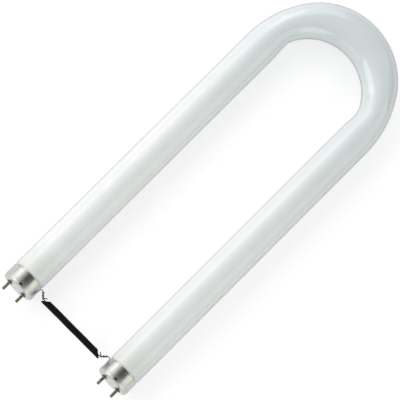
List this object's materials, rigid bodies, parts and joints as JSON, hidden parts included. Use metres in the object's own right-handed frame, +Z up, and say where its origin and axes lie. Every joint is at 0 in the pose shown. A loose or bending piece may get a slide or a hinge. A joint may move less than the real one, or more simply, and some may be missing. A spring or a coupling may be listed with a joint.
{
  "type": "u shaped fluorescent bulb",
  "caption": "U-bent white fluorescent tube with an aluminium pin cap on each leg and a sleeved wire tie between the caps; plugs into the lampholders of a ceiling fixture.",
  "frame": {"origin": "bottom centre of the lamp's box, on the surface that it lies on", "axes": "+Y along the legs, from the pins towards the bend; +X across the legs; +Z up, square to the plane of the U"},
  "size_m": [0.1174, 0.317, 0.0254],
  "materials": {
    "coated_glass": "glossy glass with a white coat inside",
    "cap_aluminium": "drawn, bright satin",
    "phenolic": "dark pressed resin board",
    "pin_brass": "dull, slightly tarnished",
    "lead_metal": "drawn wire",
    "basing_cement": "baked resin cement",
    "tie_steel": "soft steel wire",
    "sleeve_rubber": "matt black tubing"
  },
  "bodies": {
    "root": {"glass_tube": "coated_glass", "left_cap_shell": "cap_aluminium", "right_cap_shell": "cap_aluminium", "left_pin_plate": "phenolic", "right_pin_plate": "phenolic", "left_outer_pin": "pin_brass", "left_inner_pin": "pin_brass", "right_inner_pin": "pin_brass", "right_outer_pin": "pin_brass", "left_outer_lead": "lead_metal", "left_inner_lead": "lead_metal", "right_inner_lead": "lead_metal", "right_outer_lead": "lead_metal", "left_basing_cement": "basing_cement", "right_basing_cement": "basing_cement", "tie_wire": "tie_steel", "spacer_sleeve": "sleeve_rubber"}
  },
  "joints": []
}
